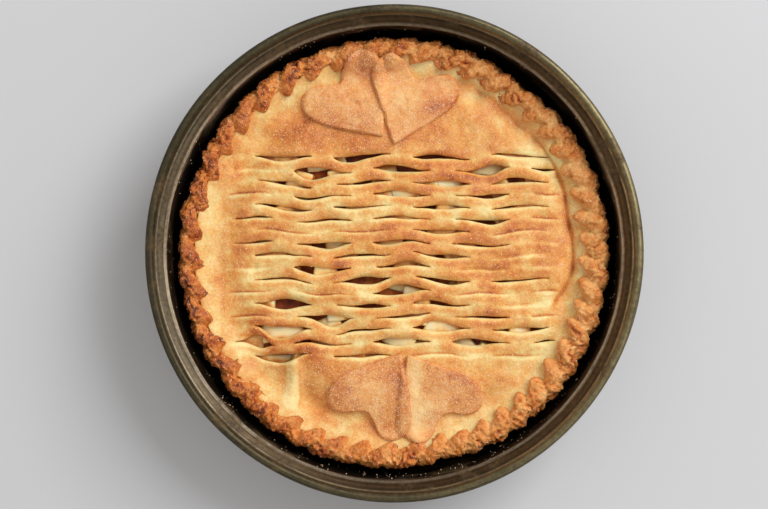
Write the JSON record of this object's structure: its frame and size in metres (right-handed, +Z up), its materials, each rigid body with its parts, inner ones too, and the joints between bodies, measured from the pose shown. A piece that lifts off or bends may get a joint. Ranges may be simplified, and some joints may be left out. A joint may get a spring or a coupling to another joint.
{
  "type": "apple pie in its tin",
  "caption": "Round sugared apple pie with a crimped rim, a lattice lid that shows the apples and pastry hearts, in the dark steel tin it was baked in.",
  "frame": {"origin": "centre of the tin's flat bottom, on the outside", "axes": "+Z up out of the tin; +Y towards the upper pair of hearts, across the rows of slits; +X along the rows of slits, with the pie seen from above"},
  "size_m": [0.2806, 0.2806, 0.0658],
  "materials": {
    "dark_steel": "tinned steel gone dark and brown from baking, semi-gloss",
    "browned_crust": "well browned short pastry with sugar on it, matt",
    "baked_pastry": "golden short pastry, egg-washed and sugared",
    "sugared_pastry": "golden pastry under a coat of fine sugar, matt",
    "cooked_apple": "soft cooked apple in brown syrup, wet"
  },
  "bodies": {
    "root": {"tin": "dark_steel", "pastry_case": "browned_crust", "lattice_lid": "baked_pastry", "apple_filling": "cooked_apple", "heart_top_left": "sugared_pastry", "heart_top_right": "sugared_pastry", "heart_bottom_left": "sugared_pastry", "heart_bottom_right": "sugared_pastry"}
  },
  "joints": []
}
